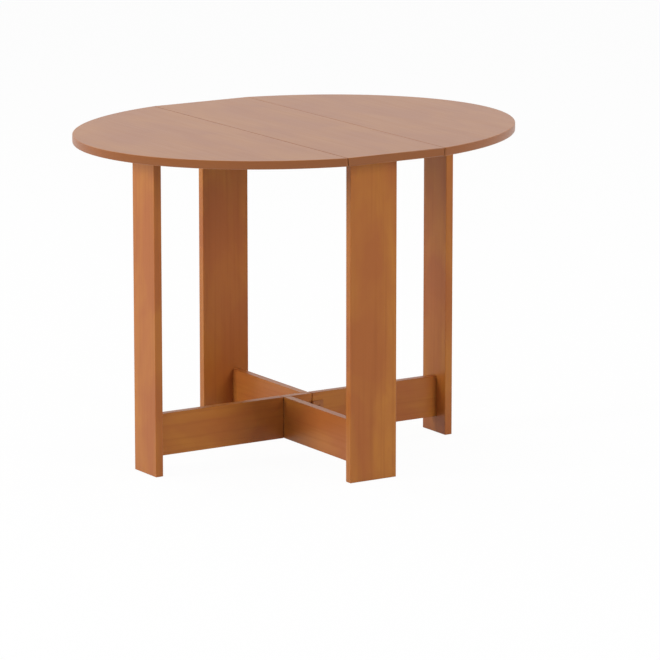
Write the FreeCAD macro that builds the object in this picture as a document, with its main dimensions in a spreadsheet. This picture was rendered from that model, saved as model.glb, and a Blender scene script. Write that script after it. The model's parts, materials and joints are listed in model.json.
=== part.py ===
import FreeCAD, Part
import os

from FreeCAD import Placement, Rotation, Vector

# Butterfly folding table: a fixed strip on two wide legs, two drop leaves and two swinging legs.
# Origin on the floor under the middle of the top, X across the leaves, Y along the strip, Z up.
# The table is the same after half a turn about Z, so each left or front piece is made once
# and its twin on the right or at the rear is the same piece placed with half a turn.

# Driving dimensions in millimetres
DIMENSIONS = {
    "top_length": 1000,
    "top_width": 800,
    "table_height": 720,
    "top_thickness": 18,
    "strip_width": 240,
    "seam_gap": 1.5,
    "edge_round": 2,
    "board": 18,
    "board_round": 1.2,
    "fixed_leg_width": 116,
    "fixed_leg_inset": 88,
    "gate_leg_width": 90,
    "gate_leg_inset": 120,
    "rail_height": 92,
    "rail_lift": 36,
    "rail_offset": 27,
    "rest_gap": 0.3,
    "gate_end_gap": 1,
    "hinge_plate": 1.6,
    "knuckle_radius": 3.2,
    "pin_radius": 1.6,
    "pin_fit": 0.05,
    "pin_cap_radius": 2.6,
    "pin_cap_height": 1,
    "knuckle_gap": 0.4,
    "leaf_hinge_length": 64,
    "leaf_hinge_wing": 28,
    "leaf_hinge_inset": 150,
    "gate_hinge_length": 56,
    "gate_hinge_wing": 28,
    "screw_radius": 2,
    "screw_head_radius": 3.6,
    "screw_length": 12,
    "screw_fit": 0.05,
    "dowel_radius": 4,
    "dowel_length": 24,
    "dowel_fit": 0.05,
    "dowel_spacing": 46,
    "bracket_width": 20,
    "bracket_leg": 32,
    "bracket_plate": 2,
    "bracket_spacing": 60,
    "cut_allowance": 1,
}

KNUCKLES = 5
LEAF_HINGES = (-1, 0, 1)
PAIR = (-1, 1)
# Screw places as shares of a hinge plate's length and wing, and of a bracket's leg
SCREW_SPREAD = 0.3
SCREW_REACH = 0.6
BRACKET_SCREW_DROP = 0.6
TOUCH = 0.01

doc = FreeCAD.newDocument("folding_table")
sheet = doc.addObject("Spreadsheet::Sheet", "dims")
for row, (alias, value) in enumerate(DIMENSIONS.items(), start=1):
    sheet.set(f"A{row}", alias)
    sheet.set(f"B{row}", str(value))
    sheet.setAlias(f"B{row}", alias)
doc.recompute()

# Shared positions, as formulas on the sheet
UNDERSIDE = "(dims.table_height - dims.top_thickness)"
SEAM = "(dims.strip_width / 2 + dims.seam_gap / 2)"
RAIL_MIDDLE = "(dims.rail_lift + dims.rail_height / 2)"
RAIL_FACE = "(dims.rail_offset + dims.board / 2)"
LEAF_AXIS_Z = f"({UNDERSIDE} - dims.knuckle_radius)"
GATE_AXIS_X = f"(-{RAIL_FACE} - dims.gate_end_gap / 2)"
GATE_AXIS_Y = "(dims.board / 2 + dims.knuckle_radius)"
FIXED_LEG_REACH = "(dims.top_width / 2 - dims.fixed_leg_inset)"
GATE_LEG_REACH = "(dims.top_length / 2 - dims.gate_leg_inset)"
LEAF_HINGE_PITCH = "(dims.top_width / 2 - dims.leaf_hinge_inset)"
FIXED_LEG_BACK = f"({FIXED_LEG_REACH} - dims.board)"
GATE_LEG_BACK = f"({GATE_LEG_REACH} - dims.board)"
GATE_LEG_HEIGHT = f"({UNDERSIDE} - dims.rest_gap)"

HALF_TURN = Placement(Vector(0, 0, 0), Rotation(Vector(0, 0, 1), 180))
nodes = []


def bind(item, **sizes):
    """Bind properties of an object to formulas on the sheet."""
    for name, formula in sizes.items():
        item.setExpression(name, formula)
    return item


def move(item, x, y, z):
    """Bind an object's position to three formulas."""
    for axis, formula in zip("xyz", (x, y, z)):
        item.setExpression(f"Placement.Base.{axis}", formula)
    return item


def block(name, size, corner):
    """A box from its three sizes and its lowest corner."""
    item = doc.addObject("Part::Box", name)
    bind(item, Length=size[0], Width=size[1], Height=size[2])
    return move(item, *corner)


def rod(name, radius, length, start, direction):
    """A cylinder from its start, along one direction."""
    item = doc.addObject("Part::Cylinder", name)
    bind(item, Radius=radius, Height=length)
    item.Placement = Placement(Vector(0, 0, 0), Rotation(Vector(0, 0, 1), direction))
    return move(item, *start)


def taper(name, radius, end_radius, length, start, direction):
    """A cone from its start, along one direction."""
    item = doc.addObject("Part::Cone", name)
    bind(item, Radius1=radius, Radius2=end_radius, Height=length)
    item.Placement = Placement(Vector(0, 0, 0), Rotation(Vector(0, 0, 1), direction))
    return move(item, *start)


def join(name, items):
    """Fuse several objects into one solid."""
    item = doc.addObject("Part::MultiFuse", name)
    item.Shapes = items
    item.Refine = True
    return item


def group(name, items):
    """Keep several solids apart in one object."""
    item = doc.addObject("Part::Compound", name)
    item.Links = items
    return item


def carve(name, base, tools):
    """Cut every tool out of the base."""
    if not tools:
        return base
    item = doc.addObject("Part::Cut", name)
    item.Base = base
    item.Tool = tools[0] if len(tools) == 1 else join(f"{name}_tools", tools)
    return item


def turned_copy(item):
    """The same object after half a turn about the table's middle."""
    twin = doc.addObject("Part::Compound", f"{item.Name}_turned")
    twin.Links = [item]
    twin.Placement = HALF_TURN
    return twin


def node(label, item, turned=False):
    """Register an object as a finished piece, with half a turn for a twin."""
    if turned:
        item = turned_copy(item)
    item.Label = label
    nodes.append(item)


def round_edges(name, item, radius, chosen):
    """Round the chosen edges of a solid by a radius from the sheet."""
    doc.recompute()
    value = sheet.get(radius)
    edges = [number for number, edge in enumerate(item.Shape.Edges, start=1) if chosen(edge)]
    rounded = doc.addObject("Part::Fillet", name)
    rounded.Base = item
    rounded.Edges = [(number, value, value) for number in edges]
    return rounded


def is_upright(edge):
    """True for a straight edge along Z."""
    ends = [vertex.Point for vertex in edge.Vertexes]
    return len(ends) == 2 and ends[0].sub(ends[1]).cross(Vector(0, 0, 1)).Length < TOUCH


def is_top(edge):
    """True for an edge that lies in the top surface."""
    return abs(edge.BoundBox.ZMin - sheet.get("table_height")) < TOUCH


def board(name, size, corner, tools):
    """A board with its upright edges rounded and its holes drilled."""
    plain = block(f"{name}_board", size, corner)
    rounded = round_edges(f"{name}_rounded", plain, "board_round", is_upright)
    return carve(f"{name}_drilled", rounded, tools)


def dowel_rods(name, radius, extra, middle, direction):
    """Two dowels, one above the other, centred on a joint."""
    rods = []
    half = f"((dims.dowel_length + {extra}) / 2)"
    for side in PAIR:
        x, y, z = middle
        z = f"{z} + {side} * dims.dowel_spacing / 2"
        start = (f"{x} - {half}", y, z) if direction.x else (x, f"{y} - {half}", z)
        rods.append(rod(f"{name}_{side + 1}", radius, f"dims.dowel_length + {extra}", start, direction))
    return rods


def dowel_holes(name, middle, direction):
    """The holes for a pair of dowels, with their fit."""
    return dowel_rods(name, "dims.dowel_radius + dims.dowel_fit", "2 * dims.dowel_fit", middle, direction)


# Places where a rail meets a leg or the centre block
ALONG_X = Vector(1, 0, 0)
ALONG_Y = Vector(0, 1, 0)
LEG_JOINT = ("-dims.rail_offset", f"-{FIXED_LEG_BACK}", RAIL_MIDDLE)
CENTRE_JOINT = ("-dims.rail_offset", "-dims.board / 2", RAIL_MIDDLE)
REAR_CENTRE_JOINT = ("dims.rail_offset", "dims.board / 2", RAIL_MIDDLE)
GATE_JOINT = (f"-{GATE_LEG_BACK}", "0", RAIL_MIDDLE)


def screw_places(axis_length, wing):
    """Screw places on a hinge plate, as distances along and away from its pin."""
    return [(f"{side} * {axis_length} * {SCREW_SPREAD}", f"{wing} * {SCREW_REACH}") for side in PAIR]


def hinge_frame(origin, along, away, out):
    """A turned placement for a hinge: its pin along Z, its plate along X, its thickness along Y."""
    turn = FreeCAD.Matrix()
    for column, vector in enumerate((away, out, along)):
        for line, value in enumerate(vector):
            setattr(turn, f"A{line + 1}{column + 1}", value)
    return origin, Rotation(turn)


def place_hinge(item, frame):
    """Put a hinge piece on its pin's middle, with its directions."""
    origin, turn = frame
    item.Placement = Placement(Vector(0, 0, 0), turn)
    return move(item, *origin)


def hinge_plate(name, length, wing, moving):
    """One hinge plate with its knuckles; the plate lies a knuckle radius away from the pin."""
    low = f"-{length} / 2"
    plate = block(
        f"{name}_plate",
        (wing, "dims.hinge_plate", length),
        ("0", "dims.knuckle_radius - dims.hinge_plate", low),
    )
    step = f"({length} / {KNUCKLES})"
    solids = [plate]
    gaps = []
    for count in range(KNUCKLES):
        start = f"{low} + {count} * {step}"
        if count % 2 == int(moving):
            solids.append(
                rod(f"{name}_knuckle_{count}", "dims.knuckle_radius", step, ("0", "0", start), Vector(0, 0, 1))
            )
        else:
            gaps.append(
                block(
                    f"{name}_gap_{count}",
                    ("2 * dims.knuckle_radius + 2 * dims.knuckle_gap",) * 2
                    + (f"{step} + 2 * dims.knuckle_gap",),
                    ("-dims.knuckle_radius - dims.knuckle_gap",) * 2 + (f"{start} - dims.knuckle_gap",),
                )
            )
    bore = rod(
        f"{name}_bore", "dims.pin_radius + dims.pin_fit", f"{length} + 2 * dims.cut_allowance",
        ("0", "0", f"{low} - dims.cut_allowance"), Vector(0, 0, 1),
    )
    tools = gaps + [bore] + screw_solids(f"{name}_hole", length, wing, "dims.screw_fit")
    return carve(f"{name}_cut", join(f"{name}_blank", solids), tools)


def screw_solids(name, length, wing, clearance):
    """Countersunk screws through a hinge plate, grown by a clearance."""
    solids = []
    for count, (along, away) in enumerate(screw_places(length, wing)):
        head_face = "dims.knuckle_radius - dims.hinge_plate"
        head = taper(
            f"{name}_head_{count}", f"dims.screw_head_radius + {clearance}", f"dims.screw_radius + {clearance}",
            "dims.hinge_plate", (away, head_face, along), Vector(0, 1, 0),
        )
        shank = rod(
            f"{name}_shank_{count}", f"dims.screw_radius + {clearance}", f"dims.screw_length + {clearance}",
            (away, head_face, along), Vector(0, 1, 0),
        )
        solids.append(join(f"{name}_{count}", [head, shank]))
    return solids


def hinge_pin(name, length):
    """A hinge pin with a flat cap at each end."""
    body = rod(
        f"{name}_body", "dims.pin_radius", f"{length} + 2 * dims.pin_cap_height",
        ("0", "0", f"-{length} / 2 - dims.pin_cap_height"), Vector(0, 0, 1),
    )
    caps = [
        rod(
            f"{name}_cap_{side + 1}", "dims.pin_cap_radius", "dims.pin_cap_height",
            ("0", "0", f"{side} * ({length} / 2 + dims.pin_cap_height / 2) - dims.pin_cap_height / 2"),
            Vector(0, 0, 1),
        )
        for side in PAIR
    ]
    return join(f"{name}_pin", [body] + caps)


# Directions of the two plates of a leaf hinge: the pin runs along Y under the seam
def leaf_hinge_frame(place, away):
    """Frame of a leaf hinge plate at one place along the left seam."""
    origin = (f"-{SEAM}", f"{place} * {LEAF_HINGE_PITCH}", LEAF_AXIS_Z)
    out = Vector(0, 0, 1)
    return hinge_frame(origin, away.cross(out), away, out)


def gate_hinge_frame(away):
    """Frame of a gate hinge plate on the rear face of the left rail or the centre block."""
    origin = (GATE_AXIS_X, GATE_AXIS_Y, RAIL_MIDDLE)
    return hinge_frame(origin, away.cross(FORWARD), away, FORWARD)


INWARD = Vector(1, 0, 0)
OUTWARD = Vector(-1, 0, 0)
FORWARD = Vector(0, -1, 0)


def leaf_screw_holes(name, away):
    """Screw holes of the three hinges, for the strip or for the leaf."""
    holes = []
    for place in LEAF_HINGES:
        frame = leaf_hinge_frame(place, away)
        solids = screw_solids(
            f"{name}_{place + 1}", "dims.leaf_hinge_length", "dims.leaf_hinge_wing", "dims.screw_fit"
        )
        holes += [place_hinge(item, frame) for item in solids]
    return holes


def gate_screw_holes(name, away):
    """Screw holes of the gate hinge, for the gate's rail or for the centre block."""
    frame = gate_hinge_frame(away)
    solids = screw_solids(name, "dims.gate_hinge_length", "dims.gate_hinge_wing", "dims.screw_fit")
    return [place_hinge(item, frame) for item in solids]


# Fixed strip of the top
def make_strip():
    """The middle strip, rounded along its top edges at the two ends."""
    plain = block(
        "strip_board",
        ("dims.strip_width", "dims.top_width", "dims.top_thickness"),
        ("-dims.strip_width / 2", "-dims.top_width / 2", UNDERSIDE),
    )
    rounded = round_edges(
        "strip_rounded", plain, "edge_round",
        lambda edge: is_top(edge) and edge.BoundBox.YLength < TOUCH,
    )
    left = leaf_screw_holes("strip_left_hole", INWARD)
    right = [turned_copy(item) for item in leaf_screw_holes("strip_right_hole", INWARD)]
    node("centre_top", carve("strip_drilled", rounded, left + right))


# Drop leaves
def make_leaf(label, turned):
    """A drop leaf: an ellipse cut straight along the seam, with its top edge rounded."""
    body = doc.addObject("PartDesign::Body", f"{label}_body")
    sketch = body.newObject("Sketcher::SketchObject", f"{label}_outline")
    plane = next(item for item in body.Origin.OriginFeatures if item.Role == "XY_Plane")
    sketch.AttachmentSupport = [(plane, "")]
    sketch.MapMode = "FlatFace"
    long_half = sheet.get("top_length") / 2
    seam = sheet.get("strip_width") / 2 + sheet.get("seam_gap")
    strip_corner = sheet.get("strip_width") / 2
    short_half = sheet.get("top_width") / 2 / (1 - (strip_corner / long_half) ** 2) ** 0.5
    tips = (Vector(long_half, 0, 0), Vector(0, short_half, 0))
    if short_half > long_half:
        tips = (Vector(0, short_half, 0), Vector(-long_half, 0, 0))
    ellipse = Part.Ellipse(*tips, Vector(0, 0, 0))
    corner = short_half * (1 - (seam / long_half) ** 2) ** 0.5
    first = ellipse.parameter(Vector(-seam, corner, 0))
    last = ellipse.parameter(Vector(-seam, -corner, 0))
    sketch.addGeometry(Part.ArcOfEllipse(ellipse, first, last), False)
    sketch.addGeometry(Part.LineSegment(Vector(-seam, -corner, 0), Vector(-seam, corner, 0)), False)
    pad = body.newObject("PartDesign::Pad", f"{label}_pad")
    pad.Profile = sketch
    pad.setExpression("Length", "dims.top_thickness")
    body.setExpression("Placement.Base.z", UNDERSIDE)
    body.Tip = pad
    rounded = round_edges(
        f"{label}_rounded", body, "edge_round",
        lambda edge: is_top(edge) and edge.BoundBox.XLength > TOUCH,
    )
    holes = leaf_screw_holes(f"{label}_hole", OUTWARD)
    node(label, carve(f"{label}_drilled", rounded, holes), turned)


# Fixed legs and their rails
def make_fixed_leg(label, turned):
    """A wide leg under one end of the strip."""
    leg = board(
        label,
        ("dims.fixed_leg_width", "dims.board", UNDERSIDE),
        ("-dims.fixed_leg_width / 2", f"-{FIXED_LEG_REACH}", "0"),
        dowel_holes(f"{label}_hole", LEG_JOINT, ALONG_Y) + bracket_holes(f"{label}_bracket_hole"),
    )
    node(label, leg, turned)


def make_fixed_rail(label, turned):
    """A half rail from a wide leg to the centre block, beside the middle."""
    rail = block(
        f"{label}_board",
        ("dims.board", f"{FIXED_LEG_BACK} - dims.board / 2", "dims.rail_height"),
        (f"-{RAIL_FACE}", f"-{FIXED_LEG_BACK}", "dims.rail_lift"),
    )
    holes = dowel_holes(f"{label}_leg_hole", LEG_JOINT, ALONG_Y)
    holes += dowel_holes(f"{label}_centre_hole", CENTRE_JOINT, ALONG_Y)
    node(label, carve(f"{label}_drilled", rail, holes), turned)


def make_centre_block():
    """The short block that joins the two offset half rails."""
    plain = block(
        "centre_board",
        (f"2 * {RAIL_FACE}", "dims.board", "dims.rail_height"),
        (f"-{RAIL_FACE}", "-dims.board / 2", "dims.rail_lift"),
    )
    holes = dowel_holes("centre_front_hole", CENTRE_JOINT, ALONG_Y)
    holes += dowel_holes("centre_rear_hole", REAR_CENTRE_JOINT, ALONG_Y)
    holes += gate_screw_holes("centre_left_hole", INWARD)
    holes += [turned_copy(item) for item in gate_screw_holes("centre_right_hole", INWARD)]
    node("centre_block", carve("centre_drilled", plain, holes))


# Swinging legs and their rails
def make_gate_leg(label, turned):
    """A narrower leg that stands under a leaf and swings in under the strip."""
    leg = board(
        label,
        ("dims.board", "dims.gate_leg_width", GATE_LEG_HEIGHT),
        (f"-{GATE_LEG_REACH}", "-dims.gate_leg_width / 2", "0"),
        dowel_holes(f"{label}_hole", GATE_JOINT, ALONG_X),
    )
    node(label, leg, turned)


def make_gate_rail(label, turned):
    """The rail of a swinging leg, hinged end to end with the centre block."""
    rail = block(
        f"{label}_board",
        (f"{GATE_LEG_BACK} - {RAIL_FACE} - dims.gate_end_gap", "dims.board", "dims.rail_height"),
        (f"-{GATE_LEG_BACK}", "-dims.board / 2", "dims.rail_lift"),
    )
    holes = dowel_holes(f"{label}_leg_hole", GATE_JOINT, ALONG_X)
    holes += gate_screw_holes(f"{label}_hinge_hole", OUTWARD)
    node(label, carve(f"{label}_drilled", rail, holes), turned)


def make_dowels(label, middle, direction, turned):
    """The pair of dowels in one joint."""
    pins = dowel_rods(label, "dims.dowel_radius", "0", middle, direction)
    node(label, group(f"{label}_pair", pins), turned)


# Hinges
def make_leaf_hinges(side, turned):
    """Three hinges along one seam: strip plates, leaf plates, pins and screws."""
    length = "dims.leaf_hinge_length"
    wing = "dims.leaf_hinge_wing"
    kinds = {
        f"{side}_leaf_hinge_strip_plates": (INWARD, False),
        f"{side}_leaf_hinge_leaf_plates": (OUTWARD, True),
    }
    for label, (away, moving) in kinds.items():
        plates = []
        screws = []
        for place in LEAF_HINGES:
            frame = leaf_hinge_frame(place, away)
            plates.append(place_hinge(hinge_plate(f"{label}_{place + 1}", length, wing, moving), frame))
            solids = screw_solids(f"{label}_screw_{place + 1}", length, wing, "0")
            screws += [place_hinge(item, frame) for item in solids]
        node(label, group(f"{label}_group", plates), turned)
        node(label.replace("plates", "screws"), group(f"{label}_screws", screws), turned)
    pins = []
    for place in LEAF_HINGES:
        frame = leaf_hinge_frame(place, INWARD)
        pins.append(place_hinge(hinge_pin(f"{side}_leaf_pin_{place + 1}", length), frame))
    node(f"{side}_leaf_hinge_pins", group(f"{side}_leaf_pins", pins), turned)


def make_gate_hinge(side, turned):
    """The hinge of one swinging leg: fixed plate, swinging plate, pin and screws."""
    length = "dims.gate_hinge_length"
    wing = "dims.gate_hinge_wing"
    kinds = {
        f"{side}_gate_hinge_fixed_plate": (INWARD, False),
        f"{side}_gate_hinge_swing_plate": (OUTWARD, True),
    }
    for label, (away, moving) in kinds.items():
        frame = gate_hinge_frame(away)
        node(label, place_hinge(hinge_plate(label, length, wing, moving), frame), turned)
        solids = screw_solids(f"{label}_screw", length, wing, "0")
        screws = [place_hinge(item, frame) for item in solids]
        node(label.replace("plate", "screws"), group(f"{label}_screws", screws), turned)
    frame = gate_hinge_frame(INWARD)
    node(f"{side}_gate_hinge_pin", place_hinge(hinge_pin(f"{side}_gate", length), frame), turned)


# Angle brackets between the strip and the wide legs
def bracket_place(side):
    """The corner of a bracket, on the inner face of the front leg."""
    return f"{side} * dims.bracket_spacing / 2", f"-{FIXED_LEG_BACK}"


def bracket_screws(name, side, clearance):
    """A screw of one bracket into the leg."""
    x, y = bracket_place(side)
    z = f"{UNDERSIDE} - dims.bracket_leg * {BRACKET_SCREW_DROP}"
    start = (x, f"{y} + dims.bracket_plate", z)
    head = taper(
        f"{name}_head", f"dims.screw_head_radius + {clearance}", f"dims.screw_radius + {clearance}",
        "dims.bracket_plate", start, Vector(0, -1, 0),
    )
    shank = rod(
        f"{name}_shank", f"dims.screw_radius + {clearance}", f"dims.screw_length + {clearance}",
        start, Vector(0, -1, 0),
    )
    return join(name, [head, shank])


def bracket_holes(name):
    """The holes in a leg for its two bracket screws."""
    return [bracket_screws(f"{name}_{side + 1}", side, "dims.screw_fit") for side in PAIR]


def make_brackets(end, turned):
    """Two bent steel brackets that hold one end of the strip on its leg."""
    brackets = []
    screws = []
    for side in PAIR:
        name = f"{end}_bracket_{side + 1}"
        x, y = bracket_place(side)
        corner_x = f"{x} - dims.bracket_width / 2"
        upright = block(
            f"{name}_upright", ("dims.bracket_width", "dims.bracket_plate", "dims.bracket_leg"),
            (corner_x, y, f"{UNDERSIDE} - dims.bracket_leg"),
        )
        flat = block(
            f"{name}_flat", ("dims.bracket_width", "dims.bracket_leg", "dims.bracket_plate"),
            (corner_x, y, f"{UNDERSIDE} - dims.bracket_plate"),
        )
        hole = bracket_screws(f"{name}_hole", side, "dims.screw_fit")
        brackets.append(carve(name, join(f"{name}_bent", [upright, flat]), [hole]))
        screws.append(bracket_screws(f"{name}_screw", side, "0"))
    node(f"{end}_top_brackets", group(f"{end}_brackets", brackets), turned)
    node(f"{end}_top_bracket_screws", group(f"{end}_bracket_screws", screws), turned)


make_strip()
make_centre_block()
for end, turned in (("front", False), ("rear", True)):
    make_fixed_leg(f"{end}_leg", turned)
    make_fixed_rail(f"{end}_rail", turned)
    make_dowels(f"{end}_leg_dowels", LEG_JOINT, ALONG_Y, turned)
    make_dowels(f"{end}_rail_dowels", CENTRE_JOINT, ALONG_Y, turned)
    make_brackets(end, turned)
for side, turned in (("left", False), ("right", True)):
    make_leaf(f"{side}_leaf", turned)
    make_gate_leg(f"{side}_leg", turned)
    make_gate_rail(f"{side}_rail", turned)
    make_dowels(f"{side}_leg_dowels", GATE_JOINT, ALONG_X, turned)
    make_leaf_hinges(side, turned)
    make_gate_hinge(side, turned)

doc.recompute()
for item in doc.Objects:
    if "Invalid" in item.State or "Error" in item.State:
        raise RuntimeError(f"{item.Name} failed: {item.State}")
for item in nodes:
    if item.Shape.isNull() or not item.Shape.isValid():
        raise RuntimeError(f"{item.Label} has no valid shape")

os.makedirs("parts", exist_ok=True)
for item in nodes:
    item.Shape.exportStep(f"parts/{item.Label}.step")
    print(item.Label, len(item.Shape.Solids), round(item.Shape.Volume, 1))
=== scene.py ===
"""Dress the butterfly folding table in stained wood and lacquered steel, under plain studio light."""

import json
import logging
import math
from dataclasses import dataclass, field
from enum import Enum

import bmesh
import bpy
from mathutils import Matrix, Vector

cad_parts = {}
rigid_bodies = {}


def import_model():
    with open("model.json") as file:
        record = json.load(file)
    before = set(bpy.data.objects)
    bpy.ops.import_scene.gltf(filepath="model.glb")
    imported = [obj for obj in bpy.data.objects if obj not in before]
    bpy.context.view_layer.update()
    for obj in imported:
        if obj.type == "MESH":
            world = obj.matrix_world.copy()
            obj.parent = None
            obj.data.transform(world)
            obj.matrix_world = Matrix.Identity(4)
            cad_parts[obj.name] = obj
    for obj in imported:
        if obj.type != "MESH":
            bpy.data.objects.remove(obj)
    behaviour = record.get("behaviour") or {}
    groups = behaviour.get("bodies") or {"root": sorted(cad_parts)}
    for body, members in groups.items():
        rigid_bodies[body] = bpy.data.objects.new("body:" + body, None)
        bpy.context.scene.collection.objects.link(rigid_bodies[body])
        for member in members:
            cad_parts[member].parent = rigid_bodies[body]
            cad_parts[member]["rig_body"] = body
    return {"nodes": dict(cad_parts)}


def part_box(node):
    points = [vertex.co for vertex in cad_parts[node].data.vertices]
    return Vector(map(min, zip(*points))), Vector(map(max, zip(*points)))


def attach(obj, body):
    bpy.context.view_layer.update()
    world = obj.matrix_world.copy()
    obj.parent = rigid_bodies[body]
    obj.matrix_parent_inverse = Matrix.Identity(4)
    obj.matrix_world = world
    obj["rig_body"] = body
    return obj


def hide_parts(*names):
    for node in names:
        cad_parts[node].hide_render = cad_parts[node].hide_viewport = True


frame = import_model()

LOG = logging.getLogger("folding_table")
WOOD_SLOT = "honey_wood"
STEEL_SLOT = "hinge_steel"
SHARP_TURN = math.radians(40)
ROUND_STEPS = 3
# Places that are nearer to each other than this, in metres, count as the same.
SAME_PLACE = 0.00007
Colour = tuple[float, float, float, float]
Range = tuple[float, float]
FULL: Range = (0.0, 1.0)
WHITE: Colour = (1.0, 1.0, 1.0, 1.0)


class Grain(Enum):
    """The direction in which a board's grain runs."""

    ALONG_X = 0
    ALONG_Y = 1
    ALONG_Z = 2


@dataclass(frozen=True)
class Layer:
    """One layer of a finish's pattern: noise that is stretched along the grain.

    The repeats are per metre, across and along the grain. The band is the part of the noise that shows.
    """

    across: float
    along: float
    detail: float
    twist: float
    band: Range = FULL

    def repeats(self, grain: Grain) -> Vector:
        """The repeats along X, Y and Z.

        Args:
            grain: The direction of the grain.

        Returns:
            The repeats, with those along the grain on its own axis.
        """
        values = [self.across, self.across, self.across]
        values[grain.value] = self.along
        return Vector(values)


class Nodes:
    """A small helper that adds shader nodes to one material and joins them."""

    def __init__(self, material: bpy.types.Material) -> None:
        """Start on a material's own node tree.

        Args:
            material: The material to fill.
        """
        material.use_nodes = True
        self.tree = material.node_tree
        self.shader = self.tree.nodes["Principled BSDF"]

    def add(self, kind: str, **settings: object) -> bpy.types.Node:
        """Add a node and set its own options.

        Args:
            kind: The node's type name.
            settings: Options of the node, by attribute.

        Returns:
            The new node.
        """
        node = self.tree.nodes.new(kind)
        for name, value in settings.items():
            setattr(node, name, value)
        return node

    def join(self, source: bpy.types.NodeSocket, target: bpy.types.NodeSocket) -> None:
        """Link an output to an input."""
        self.tree.links.new(source, target)

    def noise(self, layer: Layer, grain: Grain, offset: Vector) -> bpy.types.NodeSocket:
        """A layer's noise on the piece's own coordinates.

        Args:
            layer: The layer's repeats and detail.
            grain: The direction of the grain.
            offset: A shift that sets one board's figure apart from the next.

        Returns:
            The output with the noise value.
        """
        place = self.add("ShaderNodeTexCoord")
        mapping = self.add("ShaderNodeMapping")
        mapping.inputs["Location"].default_value = offset
        mapping.inputs["Scale"].default_value = layer.repeats(grain)
        self.join(place.outputs["Object"], mapping.inputs["Vector"])
        texture = self.add("ShaderNodeTexNoise")
        texture.inputs["Scale"].default_value = 1.0
        texture.inputs["Detail"].default_value = layer.detail
        texture.inputs["Distortion"].default_value = layer.twist
        self.join(mapping.outputs["Vector"], texture.inputs["Vector"])
        return texture.outputs["Fac"]

    def upward(self) -> bpy.types.NodeSocket:
        """How far the surface faces up or down on the unturned piece.

        Returns:
            The output, which is one on a level face and nothing on an upright edge.
        """
        place = self.add("ShaderNodeTexCoord")
        parts = self.add("ShaderNodeSeparateXYZ")
        size = self.add("ShaderNodeMath", operation="ABSOLUTE")
        self.join(place.outputs["Normal"], parts.inputs["Vector"])
        self.join(parts.outputs["Z"], size.inputs[0])
        return size.outputs[0]

    def spread(self, value: bpy.types.NodeSocket, source: Range, target: Range) -> bpy.types.NodeSocket:
        """Map a range of values to another range.

        Args:
            value: The value to map.
            source: Start and end of the range that the value has.
            target: Start and end of the range that it gets.

        Returns:
            The output with the mapped value.
        """
        node = self.add("ShaderNodeMapRange")
        node.inputs["From Min"].default_value, node.inputs["From Max"].default_value = source
        node.inputs["To Min"].default_value, node.inputs["To Max"].default_value = target
        self.join(value, node.inputs["Value"])
        return node.outputs["Result"]

    def mix(self, factor: bpy.types.NodeSocket, first: Colour | bpy.types.NodeSocket,
            second: Colour) -> bpy.types.NodeSocket:
        """Mix a colour with a second one.

        Args:
            factor: The share of the second colour.
            first: A colour, or an output with one.
            second: The second colour.

        Returns:
            The output with the mixed colour.
        """
        node = self.add("ShaderNodeMix", data_type="RGBA")
        self.join(factor, node.inputs["Factor"])
        if isinstance(first, tuple):
            node.inputs["A"].default_value = first
        else:
            self.join(first, node.inputs["A"])
        node.inputs["B"].default_value = second
        return node.outputs["Result"]

    def bump(self, height: bpy.types.NodeSocket, strength: float, depth: float) -> None:
        """Give the shader a bump from a height value.

        Args:
            height: The height value.
            strength: The share of the bump that shows.
            depth: The depth of the bump in metres.
        """
        node = self.add("ShaderNodeBump")
        node.inputs["Strength"].default_value = strength
        node.inputs["Distance"].default_value = depth
        self.join(height, node.inputs["Height"])
        self.join(node.outputs["Normal"], self.shader.inputs["Normal"])


@dataclass(frozen=True)
class StainedWood:
    """A honey stain under satin lacquer, with cloudy figure, streaks and pores."""

    name: str
    golden: Colour = (0.380, 0.140, 0.023, 1.0)
    reddish: Colour = (0.318, 0.096, 0.021, 1.0)
    streak: Colour = (0.235, 0.066, 0.014, 1.0)
    rim_stain: Colour = (0.205, 0.060, 0.009, 1.0)
    cloud: Layer = Layer(11.0, 4.6, 3.0, 0.5, (0.35, 0.63))
    flames: Layer = Layer(46.0, 9.0, 3.0, 0.8, (0.52, 0.74))
    streaks: Layer = Layer(150.0, 3.2, 4.0, 0.3, (0.50, 0.76))
    pores: Layer = Layer(620.0, 16.0, 2.0, 0.0)
    flame_share: float = 0.40
    streak_share: float = 0.36
    rim_share: float = 0.0
    rim_band: Range = (0.45, 0.9)
    sheen_band: Range = (0.3, 0.7)
    roughness: Range = (0.30, 0.40)
    gloss: float = 0.25
    pore_strength: float = 0.10
    pore_depth: float = 0.0003

    def material(self, grain: Grain, offset: Vector) -> bpy.types.Material:
        """Make the material of one board.

        Args:
            grain: The direction of the board's grain.
            offset: A shift that gives the board its own figure.

        Returns:
            The new material.
        """
        made = bpy.data.materials.new(self.name)
        nodes = Nodes(made)
        streaks = nodes.noise(self.streaks, grain, offset)
        stain = nodes.spread(nodes.noise(self.cloud, grain, offset), self.cloud.band, FULL)
        figure = nodes.mix(stain, self.golden, self.reddish)
        flames = nodes.noise(self.flames, grain, offset)
        figure = nodes.mix(
            nodes.spread(flames, self.flames.band, (0.0, self.flame_share)), figure, self.reddish
        )
        figure = nodes.mix(
            nodes.spread(streaks, self.streaks.band, (0.0, self.streak_share)), figure, self.streak
        )
        if self.rim_share:
            rim = nodes.spread(nodes.upward(), self.rim_band, (self.rim_share, 0.0))
            figure = nodes.mix(rim, figure, self.rim_stain)
        nodes.join(figure, nodes.shader.inputs["Base Color"])
        nodes.join(nodes.spread(streaks, self.sheen_band, self.roughness), nodes.shader.inputs["Roughness"])
        nodes.shader.inputs["Specular IOR Level"].default_value = self.gloss
        nodes.bump(nodes.noise(self.pores, grain, offset), self.pore_strength, self.pore_depth)
        return made


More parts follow.
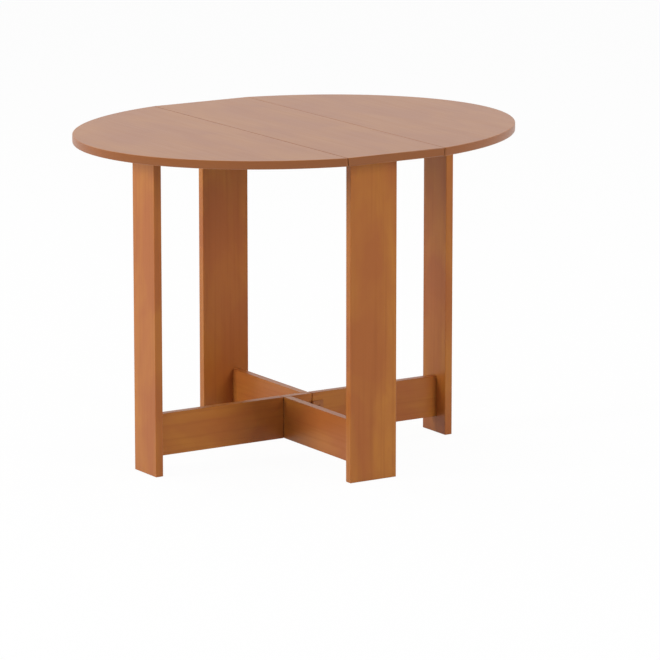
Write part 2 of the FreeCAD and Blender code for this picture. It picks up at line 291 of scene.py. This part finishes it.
@dataclass(frozen=True)
class LacqueredSteel:
    """Pressed steel under brown lacquer, with a faint drawn grain and thinner patches."""

    name: str
    bright: Colour = (0.300, 0.100, 0.018, 1.0)
    dull: Colour = (0.215, 0.068, 0.013, 1.0)
    metal_share: float = 0.2
    patches: Layer = Layer(60.0, 60.0, 3.0, 0.2, (0.4, 0.65))
    drawn: Layer = Layer(1400.0, 90.0, 2.0, 0.0)
    sheen_band: Range = (0.3, 0.7)
    roughness: Range = (0.28, 0.46)
    drawn_strength: float = 0.15
    drawn_depth: float = 0.0001

    def material(self) -> bpy.types.Material:
        """Make the steel's material.

        Returns:
            The new material.
        """
        made = bpy.data.materials.new(self.name)
        nodes = Nodes(made)
        patches = nodes.noise(self.patches, Grain.ALONG_Y, Vector())
        worn = nodes.spread(patches, self.patches.band, FULL)
        nodes.join(nodes.mix(worn, self.bright, self.dull), nodes.shader.inputs["Base Color"])
        nodes.join(nodes.spread(patches, self.sheen_band, self.roughness), nodes.shader.inputs["Roughness"])
        nodes.shader.inputs["Metallic"].default_value = self.metal_share
        nodes.bump(nodes.noise(self.drawn, Grain.ALONG_Y, Vector()), self.drawn_strength, self.drawn_depth)
        return made


HONEY = StainedWood("honey_stained_wood")
TOP_HONEY = StainedWood(
    "honey_stained_top", golden=(0.392, 0.138, 0.024, 1.0), reddish=(0.348, 0.112, 0.024, 1.0),
    flame_share=0.16, streak_share=0.05, rim_share=0.9, roughness=(0.33, 0.36), gloss=0.45,
)
BEECH = StainedWood(
    "bare_beech", (0.62, 0.42, 0.25, 1.0), (0.55, 0.35, 0.20, 1.0), (0.42, 0.25, 0.13, 1.0),
    roughness=(0.55, 0.7),
)
BROWN_STEEL = LacqueredSteel("brown_lacquered_steel")


def add_piece(name: str, mesh: bmesh.types.BMesh, body: str, slot: str,
              material: bpy.types.Material, *stands_for: str) -> None:
    """Turn a finished bmesh into a piece that rides on a body.

    Args:
        name: The piece's name.
        mesh: The finished shape, which is freed.
        body: The body that carries the piece.
        slot: The record's material slot; not used.
        material: The piece's material.
        stands_for: The nodes that the piece replaces.
    """
    bmesh.ops.recalc_face_normals(mesh, faces=mesh.faces[:])
    data = bpy.data.meshes.new(name)
    mesh.to_mesh(data)
    mesh.free()
    data.materials.append(material)
    made = bpy.data.objects.new(name, data)
    bpy.context.scene.collection.objects.link(made)
    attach(made, body)
    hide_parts(*stands_for)
    LOG.info("made %s with %d faces on %s", name, len(data.polygons), body)


def block(low: Vector, high: Vector) -> bmesh.types.BMesh:
    """A plain block.

    Args:
        low: The block's lowest corner.
        high: The block's highest corner.

    Returns:
        The block's shape.
    """
    mesh = bmesh.new()
    bmesh.ops.create_cube(mesh, size=1.0)
    bmesh.ops.scale(mesh, vec=high - low, verts=mesh.verts[:])
    bmesh.ops.translate(mesh, vec=(low + high) / 2, verts=mesh.verts[:])
    return mesh


def sharp_edges(mesh: bmesh.types.BMesh) -> list[bmesh.types.BMEdge]:
    """The edges at which two faces of a closed shape meet sharply."""
    return [edge for edge in mesh.edges if edge.calc_face_angle() > SHARP_TURN]


def round_edges(mesh: bmesh.types.BMesh, edges: list[bmesh.types.BMEdge], width: float) -> None:
    """Round chosen edges.

    Args:
        mesh: The shape.
        edges: The edges to round.
        width: The width of the rounding in metres.
    """
    rounded = bmesh.ops.bevel(
        mesh, geom=edges, offset=width, affect="EDGES", segments=ROUND_STEPS, profile=0.5, material=-1
    )
    for face in rounded["faces"]:
        face.smooth = True


@dataclass
class CrossBase:
    """The crossed boards: two wide legs, two swinging legs, their rails and the centre block."""

    ease: float = 0.0012
    grains: dict[str, Grain] = field(default_factory=lambda: {
        "front_leg": Grain.ALONG_Z,
        "rear_leg": Grain.ALONG_Z,
        "left_leg": Grain.ALONG_Z,
        "right_leg": Grain.ALONG_Z,
        "front_rail": Grain.ALONG_Y,
        "rear_rail": Grain.ALONG_Y,
        "left_rail": Grain.ALONG_X,
        "right_rail": Grain.ALONG_X,
        "centre_block": Grain.ALONG_X,
    })
    figure_step: Vector = field(default_factory=lambda: Vector((3.7, 5.3, 1.9)))

    def build(self) -> None:
        """Make every board with eased edges and its own figure."""
        for count, (node, grain) in enumerate(self.grains.items(), start=1):
            material = HONEY.material(grain, self.figure_step * count)
            body = frame["nodes"][node]["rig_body"]
            add_piece(f"{node}_board", self.board(node), body, WOOD_SLOT, material, node)

    def board(self, node: str) -> bmesh.types.BMesh:
        """A board as large as a node, with eased edges.

        Args:
            node: The node that gives the board's place and size.

        Returns:
            The board's shape.
        """
        mesh = block(*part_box(node))
        round_edges(mesh, sharp_edges(mesh), self.ease)
        return mesh


@dataclass
class OvalTop:
    """The fixed strip and the two drop leaves."""

    ease: float = 0.0022
    seam_ease: float = 0.0007
    seam_slant: float = 0.0018
    knuckle_clearance: float = 0.0015
    outline_steps: int = 320
    figure_step: Vector = field(default_factory=lambda: Vector((2.3, 7.1, 4.9)))

    def build(self) -> None:
        """Make the strip and the leaves with rounded edges."""
        strip_low, strip_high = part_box("centre_top")
        panels = {
            "centre_top": self.strip(strip_low, strip_high),
            "left_leaf": self.leaf("left_leaf", strip_high),
            "right_leaf": self.leaf("right_leaf", strip_high),
        }
        for count, (node, mesh) in enumerate(panels.items(), start=1):
            material = TOP_HONEY.material(Grain.ALONG_Y, self.figure_step * count)
            body = frame["nodes"][node]["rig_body"]
            add_piece(f"{node}_panel", mesh, body, WOOD_SLOT, material, node)

    def strip(self, low: Vector, high: Vector) -> bmesh.types.BMesh:
        """The middle strip.

        Args:
            low: The strip's lowest corner.
            high: The strip's highest corner.

        Returns:
            The strip's shape.
        """
        mesh = block(low, high)
        for side in (-1, 1):
            self.slant_seam(mesh, side, high.x, low.z)
        ends = [edge for edge in mesh.edges if abs((edge.verts[0].co - edge.verts[1].co).x) > self.ease]
        round_edges(mesh, ends, self.ease)
        round_edges(mesh, self.seam_edges(mesh, high.x), self.seam_ease)
        return mesh

    def slant_seam(self, mesh: bmesh.types.BMesh, side: float, seam: float, underside: float) -> None:
        """Slant a seam's edge inwards towards the underside, so that no light shows through the gap.

        Args:
            mesh: The panel.
            side: The seam's side, minus one for the left and one for the right.
            seam: The edge's distance from the middle.
            underside: The height of the panel's underside.
        """
        corners = [
            corner for corner in mesh.verts
            if abs(corner.co.x - side * seam) < SAME_PLACE and abs(corner.co.z - underside) < SAME_PLACE
        ]
        bmesh.ops.translate(mesh, vec=Vector((-side * self.seam_slant, 0, 0)), verts=corners)

    def seam_edges(self, mesh: bmesh.types.BMesh, seam: float) -> list[bmesh.types.BMEdge]:
        """The sharp edges that run along a seam.

        Args:
            mesh: The panel.
            seam: The seam's distance from the middle.

        Returns:
            The edges along the seam.
        """
        return [
            edge for edge in sharp_edges(mesh)
            if all(abs(abs(corner.co.x) - seam) < SAME_PLACE for corner in edge.verts)
            and abs((edge.verts[0].co - edge.verts[1].co).y) > self.ease
        ]

    def leaf(self, node: str, strip_high: Vector) -> bmesh.types.BMesh:
        """A drop leaf: the oval cut straight along the seam.

        Args:
            node: The leaf's node, which gives its reach and thickness.
            strip_high: The strip's highest corner, where the oval meets the strip's end.

        Returns:
            The leaf's shape.
        """
        low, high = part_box(node)
        side = 1.0 if high.x > 0 else -1.0
        reach = max(abs(low.x), abs(high.x))
        seam = min(abs(low.x), abs(high.x))
        half_width = strip_high.y / math.sqrt(1 - (strip_high.x / reach) ** 2)
        mesh = bmesh.new()
        bmesh.ops.create_circle(mesh, cap_ends=True, segments=self.outline_steps, radius=1.0)
        bmesh.ops.scale(mesh, vec=Vector((reach, half_width, 1.0)), verts=mesh.verts[:])
        bmesh.ops.translate(mesh, vec=Vector((0, 0, low.z)), verts=mesh.verts[:])
        everything = mesh.verts[:] + mesh.edges[:] + mesh.faces[:]
        bmesh.ops.bisect_plane(
            mesh, geom=everything, plane_co=(side * seam, 0, 0), plane_no=(-side, 0, 0), clear_outer=True
        )
        raised = bmesh.ops.extrude_face_region(mesh, geom=mesh.faces[:])["geom"]
        corners = [item for item in raised if isinstance(item, bmesh.types.BMVert)]
        bmesh.ops.translate(mesh, vec=Vector((0, 0, high.z - low.z)), verts=corners)
        self.slant_seam(mesh, side, seam, low.z)
        bmesh.ops.recalc_face_normals(mesh, faces=mesh.faces[:])
        curved = [
            edge for edge in sharp_edges(mesh)
            if max(abs(corner.co.x) for corner in edge.verts) > seam + self.ease
        ]
        for face in mesh.faces:
            # The wall is made of quads, and the two level faces have many corners.
            face.smooth = len(face.verts) == 4
        round_edges(mesh, curved, self.ease)
        round_edges(mesh, self.seam_edges(mesh, seam), self.seam_ease)
        round_edges(mesh, self.seam_edges(mesh, seam - self.seam_slant), self.knuckle_clearance)
        return mesh


@dataclass
class Screws:
    """Countersunk screws with a cross recess, each in the place of a plain one."""

    rim_steps: int = 32
    countersink: float = 0.0016
    recess_half: float = 0.00055
    recess_reach: float = 0.0022
    recess_depth: float = 0.0012
    recess_taper: float = 0.7
    weld: float = 1e-6

    def build(self) -> None:
        """Make the screws of every hinge and bracket."""
        steel = BROWN_STEEL.material()
        for name, node in frame["nodes"].items():
            if not name.endswith("screws"):
                continue
            mesh = bmesh.new()
            for corners in self.separate(node):
                screw = self.screw(corners)
                mesh.from_mesh(screw)
                bpy.data.meshes.remove(screw)
            add_piece(f"{name}_crossed", mesh, node["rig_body"], STEEL_SLOT, steel, name)

    def separate(self, node: bpy.types.Object) -> list[list[Vector]]:
        """The corners of each separate screw in a node.

        Args:
            node: The node with several screws.

        Returns:
            One list of corners for each screw.
        """
        mesh = bmesh.new()
        mesh.from_mesh(node.data)
        bmesh.ops.remove_doubles(mesh, verts=mesh.verts[:], dist=self.weld)
        left = set(mesh.verts)
        found = []
        for start in mesh.verts:
            if start not in left:
                continue
            left.remove(start)
            reached = [start]
            for corner in reached:
                near = {edge.other_vert(corner) for edge in corner.link_edges} & left
                left -= near
                reached.extend(near)
            found.append([corner.co.copy() for corner in reached])
        mesh.free()
        return found

    def screw(self, corners: list[Vector]) -> bpy.types.Mesh:
        """One screw, with the size and direction of a plain one.

        Args:
            corners: The corners of the plain screw.

        Returns:
            The screw's mesh, in its place.
        """
        low = Vector([min(corner[axis] for corner in corners) for axis in range(3)])
        high = Vector([max(corner[axis] for corner in corners) for axis in range(3)])
        size = high - low
        along = max(range(3), key=lambda axis: size[axis])
        middle = (low + high) / 2
        ends = {}
        for face in (low[along], high[along]):
            centre = middle.copy()
            centre[along] = face
            near = [corner for corner in corners if abs(corner[along] - face) < SAME_PLACE]
            ends[max((corner - centre).length for corner in near)] = centre
        head, shank = max(ends), min(ends)
        outward = (ends[head] - ends[shank]).normalized()
        shape = self.shape(head, shank, size[along])
        shape.transform(Matrix.Translation(ends[head]) @ outward.to_track_quat("Z", "Y").to_matrix().to_4x4())
        return shape

    def shape(self, head: float, shank: float, length: float) -> bpy.types.Mesh:
        """A screw that points down, with its head's face at the origin.

        Args:
            head: The head's radius.
            shank: The shank's radius.
            length: The whole length.

        Returns:
            The screw's mesh.
        """
        mesh = bmesh.new()
        bmesh.ops.create_circle(mesh, cap_ends=True, segments=self.rim_steps, radius=head)
        for axis in (Vector((1, 0, 0)), Vector((0, 1, 0))):
            for place in (-self.recess_reach, -self.recess_half, self.recess_half, self.recess_reach):
                everything = mesh.verts[:] + mesh.edges[:] + mesh.faces[:]
                bmesh.ops.bisect_plane(mesh, geom=everything, plane_co=axis * place, plane_no=axis)
        cross = [face for face in mesh.faces if self.in_cross(face.calc_center_median())]
        rim = [edge for edge in mesh.edges if edge.is_boundary]
        rim = self.draw_down(mesh, rim, shank / head, self.countersink)
        rim = self.draw_down(mesh, rim, 1.0, length - self.countersink)
        bmesh.ops.holes_fill(mesh, edges=rim, sides=0)
        sunk = bmesh.ops.extrude_face_region(mesh, geom=cross)["geom"]
        bmesh.ops.delete(mesh, geom=cross, context="FACES")
        floor = [item for item in sunk if isinstance(item, bmesh.types.BMVert)]
        bmesh.ops.scale(mesh, vec=Vector((self.recess_taper, self.recess_taper, 1)), verts=floor)
        bmesh.ops.translate(mesh, vec=Vector((0, 0, -self.recess_depth)), verts=floor)
        data = bpy.data.meshes.new("screw")
        mesh.to_mesh(data)
        mesh.free()
        return data

    def in_cross(self, point: Vector) -> bool:
        """True for a point within the cross."""
        narrow, wide = sorted((abs(point.x), abs(point.y)))
        return narrow < self.recess_half and wide < self.recess_reach

    def draw_down(self, mesh: bmesh.types.BMesh, rim: list[bmesh.types.BMEdge], narrow: float,
                  depth: float) -> list[bmesh.types.BMEdge]:
        """Draw a round wall down from a rim.

        Args:
            mesh: The screw.
            rim: The edges to draw down.
            narrow: The lower radius as a share of the upper one.
            depth: The wall's height.

        Returns:
            The new lower rim.
        """
        drawn = bmesh.ops.extrude_edge_only(mesh, edges=rim)["geom"]
        corners = [item for item in drawn if isinstance(item, bmesh.types.BMVert)]
        bmesh.ops.scale(mesh, vec=Vector((narrow, narrow, 1)), verts=corners)
        bmesh.ops.translate(mesh, vec=Vector((0, 0, -depth)), verts=corners)
        return [item for item in drawn if isinstance(item, bmesh.types.BMEdge)]


@dataclass
class Hardware:
    """Hinges, brackets and dowels: the solids keep their shape and get their finish."""

    def build(self) -> None:
        """Dress every steel and dowel node."""
        steel = BROWN_STEEL.material()
        beech = BEECH.material(Grain.ALONG_X, Vector())
        for name, node in frame["nodes"].items():
            if "hinge" in name or "bracket" in name:
                self.dress(node, steel)
            elif "dowels" in name:
                self.dress(node, beech)

    def dress(self, node: bpy.types.Object, material: bpy.types.Material) -> None:
        """Give a node its material.

        Args:
            node: The node's object.
            material: The material to use.
        """
        node.data.materials.clear()
        node.data.materials.append(material)
        LOG.info("dressed %s with %s", node.name, material.name)


@dataclass(frozen=True)
class Lamp:
    """A soft square lamp that points at the table and leaves no glare on it."""

    name: str
    place: tuple[float, float, float]
    width: float
    watts: float

    def build(self, aim: Vector) -> None:
        """Add the lamp to the scene.

        Args:
            aim: The point that the lamp faces.
        """
        light = bpy.data.lights.new(self.name, "AREA")
        light.size = self.width
        light.energy = self.watts
        lamp = bpy.data.objects.new(self.name, light)
        lamp.visible_glossy = False
        lamp.location = self.place
        lamp.rotation_euler = (aim - Vector(self.place)).to_track_quat("-Z", "Y").to_euler()
        bpy.context.scene.collection.objects.link(lamp)


@dataclass
class Studio:
    """A pale floor, soft light and the camera at the photograph's angle."""

    camera_place: Vector = field(default_factory=lambda: Vector((-5.266, -8.4555, 2.3767)))
    camera_turn: float = 0.5645
    camera_dip: float = 0.2083
    focal_pixels: float = 4681.0
    frame_pixels: float = 660.0
    sensor: float = 36.0
    floor_width: float = 120.0
    floor_gap: float = 0.0004
    floor_tone: Colour = (0.86, 0.86, 0.86, 1.0)
    fill: float = 0.45
    background_share: float = 0.96
    aim: Vector = field(default_factory=lambda: Vector((0, 0, 0.45)))
    lamps: tuple[Lamp, ...] = (
        Lamp("key_lamp", (-4.3, 0.6, 1.8), 1.4, 135.0),
        Lamp("front_lamp", (1.3, -4.5, 1.9), 1.4, 90.0),
        Lamp("right_lamp", (4.4, -0.4, 2.0), 2.4, 70.0),
        Lamp("rear_lamp", (-1.8, 4.2, 2.2), 2.4, 80.0),
    )

    def build(self) -> None:
        """Set up the whole studio."""
        scene = bpy.context.scene
        scene.view_settings.view_transform = "Standard"
        self.add_floor()
        self.add_world()
        for lamp in self.lamps:
            lamp.build(self.aim)
        scene.camera = self.add_camera()

    def seen_directly(self, tree: bpy.types.NodeTree) -> bpy.types.NodeSocket:
        """A value of one on camera, glossy and transmission rays.

        Args:
            tree: The node tree to add to.

        Returns:
            The output with that value.
        """
        path = tree.nodes.new("ShaderNodeLightPath")
        value = path.outputs["Is Camera Ray"]
        for ray in ("Is Glossy Ray", "Is Transmission Ray"):
            larger = tree.nodes.new("ShaderNodeMath")
            larger.operation = "MAXIMUM"
            tree.links.new(value, larger.inputs[0])
            tree.links.new(path.outputs[ray], larger.inputs[1])
            value = larger.outputs[0]
        return value

    def add_floor(self) -> None:
        """Add a pale floor that keeps the table's shadow and is clear from below."""
        mesh = bmesh.new()
        bmesh.ops.create_grid(mesh, x_segments=1, y_segments=1, size=self.floor_width / 2)
        bmesh.ops.translate(mesh, vec=Vector((0, 0, -self.floor_gap)), verts=mesh.verts[:])
        data = bpy.data.meshes.new("floor")
        mesh.to_mesh(data)
        mesh.free()
        floor = bpy.data.objects.new("floor", data)
        bpy.context.scene.collection.objects.link(floor)
        pale = bpy.data.materials.new("pale_floor")
        pale.use_nodes = True
        tree = pale.node_tree
        shader = tree.nodes["Principled BSDF"]
        shader.inputs["Base Color"].default_value = self.floor_tone
        shader.inputs["Roughness"].default_value = 1.0
        shader.inputs["Specular IOR Level"].default_value = 0.0
        glow = tree.nodes.new("ShaderNodeEmission")
        share = tree.nodes.new("ShaderNodeMath")
        share.operation = "MULTIPLY"
        share.inputs[1].default_value = self.background_share
        tree.links.new(self.seen_directly(tree), share.inputs[0])
        blend = tree.nodes.new("ShaderNodeMixShader")
        tree.links.new(share.outputs[0], blend.inputs[0])
        tree.links.new(shader.outputs["BSDF"], blend.inputs[1])
        tree.links.new(glow.outputs["Emission"], blend.inputs[2])
        facing = tree.nodes.new("ShaderNodeNewGeometry")
        clear = tree.nodes.new("ShaderNodeBsdfTransparent")
        one_sided = tree.nodes.new("ShaderNodeMixShader")
        tree.links.new(facing.outputs["Backfacing"], one_sided.inputs[0])
        tree.links.new(blend.outputs["Shader"], one_sided.inputs[1])
        tree.links.new(clear.outputs["BSDF"], one_sided.inputs[2])
        tree.links.new(one_sided.outputs["Shader"], tree.nodes["Material Output"].inputs["Surface"])
        data.materials.append(pale)

    def add_world(self) -> None:
        """Add an even pale surround, white where it is seen and dimmer as fill light."""
        world = bpy.data.worlds.new("pale_surround")
        bpy.context.scene.world = world
        world.use_nodes = True
        tree = world.node_tree
        surround = tree.nodes["Background"]
        surround.inputs["Color"].default_value = WHITE
        strength = tree.nodes.new("ShaderNodeMapRange")
        strength.inputs["To Min"].default_value = self.fill
        strength.inputs["To Max"].default_value = 1.0
        tree.links.new(self.seen_directly(tree), strength.inputs["Value"])
        tree.links.new(strength.outputs["Result"], surround.inputs["Strength"])

    def add_camera(self) -> bpy.types.Object:
        """Add the camera.

        Returns:
            The camera's object.
        """
        data = bpy.data.cameras.new("camera")
        data.sensor_width = self.sensor
        data.lens = self.focal_pixels / self.frame_pixels * self.sensor
        data.clip_end = self.floor_width
        camera = bpy.data.objects.new("camera", data)
        level = math.cos(self.camera_dip)
        ahead = Vector((
            math.sin(self.camera_turn) * level, math.cos(self.camera_turn) * level, -math.sin(self.camera_dip)
        ))
        camera.location = self.camera_place
        camera.rotation_euler = ahead.to_track_quat("-Z", "Y").to_euler()
        bpy.context.scene.collection.objects.link(camera)
        return camera


def main() -> None:
    """Build the sub-assemblies in order."""
    logging.basicConfig(level=logging.INFO)
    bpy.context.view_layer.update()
    for part in (CrossBase(), OvalTop(), Hardware(), Screws(), Studio()):
        part.build()
        LOG.info("built %s", type(part).__name__)


if __name__ == "__main__":
    main()
